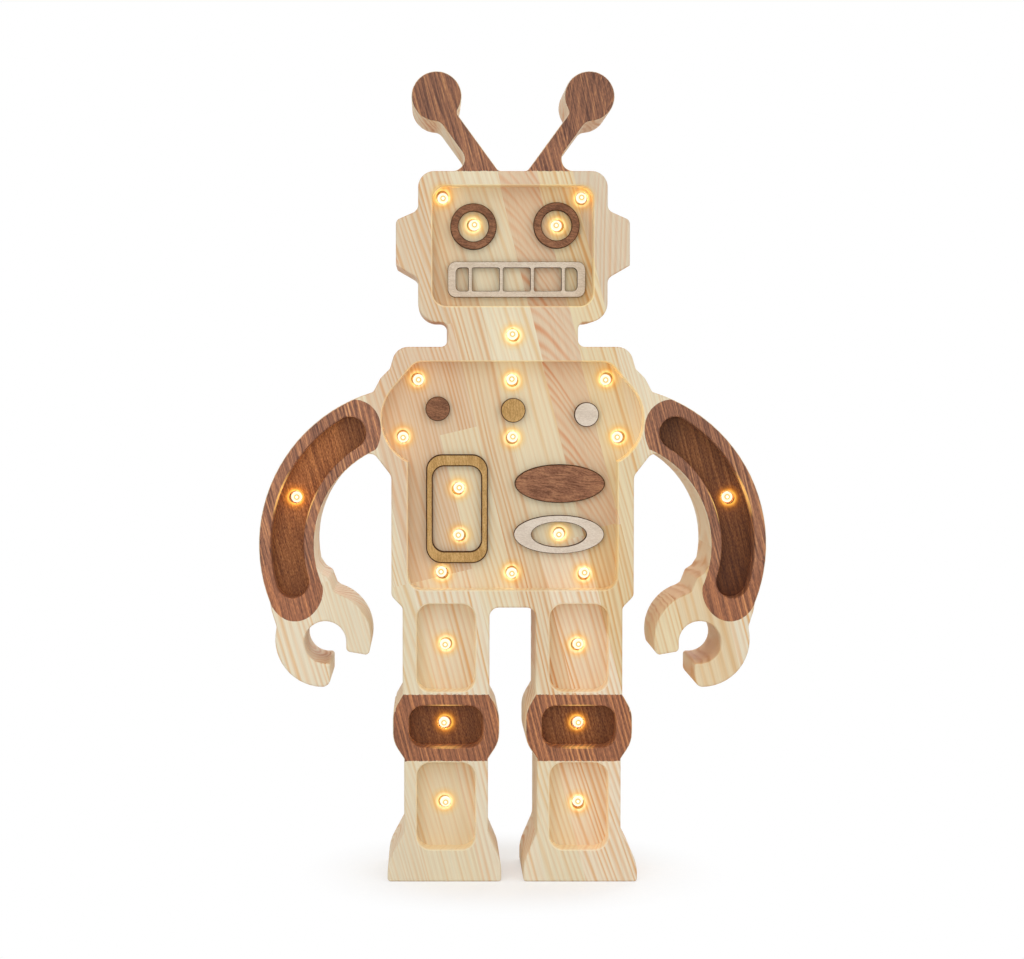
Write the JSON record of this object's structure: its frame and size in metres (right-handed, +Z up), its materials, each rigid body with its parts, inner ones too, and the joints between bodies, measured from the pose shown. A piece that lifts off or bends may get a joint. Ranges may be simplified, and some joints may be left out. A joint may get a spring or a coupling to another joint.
{
  "type": "robot shaped desk lamp",
  "caption": "Free-standing night lamp cut from thick pine as a robot outline, with routed trays, small warm lights, plywood trims and a rear rocker switch.",
  "frame": {"origin": "under the middle of the two feet, in the plane they stand on, midway between front and back faces", "axes": "+Z up, the face looks along -Y, +X towards the lamp's own left arm (right in a front view)"},
  "size_m": [0.238, 0.048, 0.38],
  "materials": {
    "pine": "edge-glued solid pine, clear satin, parts of the front stained walnut",
    "plywood": "birch plywood, sanded",
    "trim_white": "laser-cut plywood, thin white stain, dark edges",
    "trim_ochre": "laser-cut plywood, ochre stain, dark edges",
    "trim_walnut": "laser-cut plywood, walnut stain, dark edges",
    "led_lens": "clear epoxy, warm white, lit",
    "screw_zinc": "zinc-plated steel",
    "nickel": "nickel-plated brass",
    "switch_black": "moulded black plastic",
    "socket_black": "moulded black plastic",
    "circuit_board": "green glass-epoxy laminate",
    "board_black": "moulded component bodies",
    "nylon": "white nylon",
    "wire_white": "white PVC insulation",
    "wire_red": "red PVC insulation"
  },
  "bodies": {
    "lamp": {"pine_body": "pine", "back_cover": "plywood", "cover_screws": "screw_zinc", "mouth_grille": "trim_white", "panel_frame": "trim_ochre", "oval_panel": "trim_walnut", "oval_ring": "trim_white", "eye_ring_left": "trim_walnut", "eye_ring_right": "trim_walnut", "chest_button_left": "trim_walnut", "chest_button_middle": "trim_ochre", "chest_button_right": "trim_white", "switch_housing": "switch_black", "power_inlet": "socket_black", "inlet_nut": "nickel", "driver_board": "circuit_board", "board_parts": "board_black", "board_spacers": "nylon", "board_screws": "screw_zinc", "wire_harness": "wire_white", "supply_leads": "wire_red", "led_head_left": "led_lens", "led_head_right": "led_lens", "led_eye_left": "led_lens", "led_eye_right": "led_lens", "led_neck": "led_lens", "led_collar_left": "led_lens", "led_collar_middle": "led_lens", "led_collar_right": "led_lens", "led_chest_left": "led_lens", "led_chest_middle": "led_lens", "led_chest_right": "led_lens", "led_panel_high": "led_lens", "led_panel_low": "led_lens", "led_oval": "led_lens", "led_waist_left": "led_lens", "led_waist_middle": "led_lens", "led_waist_right": "led_lens", "led_arm_left": "led_lens", "led_arm_right": "led_lens", "led_thigh_left": "led_lens", "led_thigh_right": "led_lens", "led_knee_left": "led_lens", "led_knee_right": "led_lens", "led_shin_left": "led_lens", "led_shin_right": "led_lens"},
    "rocker": {"switch_rocker": "switch_black"}
  },
  "joints": [
    {"name": "rocker_tilt", "type": "hinge", "parent": "lamp", "child": "rocker", "pos_m": [0, 0.0198, 0.226], "axis": [1, 0, 0], "range_deg": [-16, 0]}
  ]
}
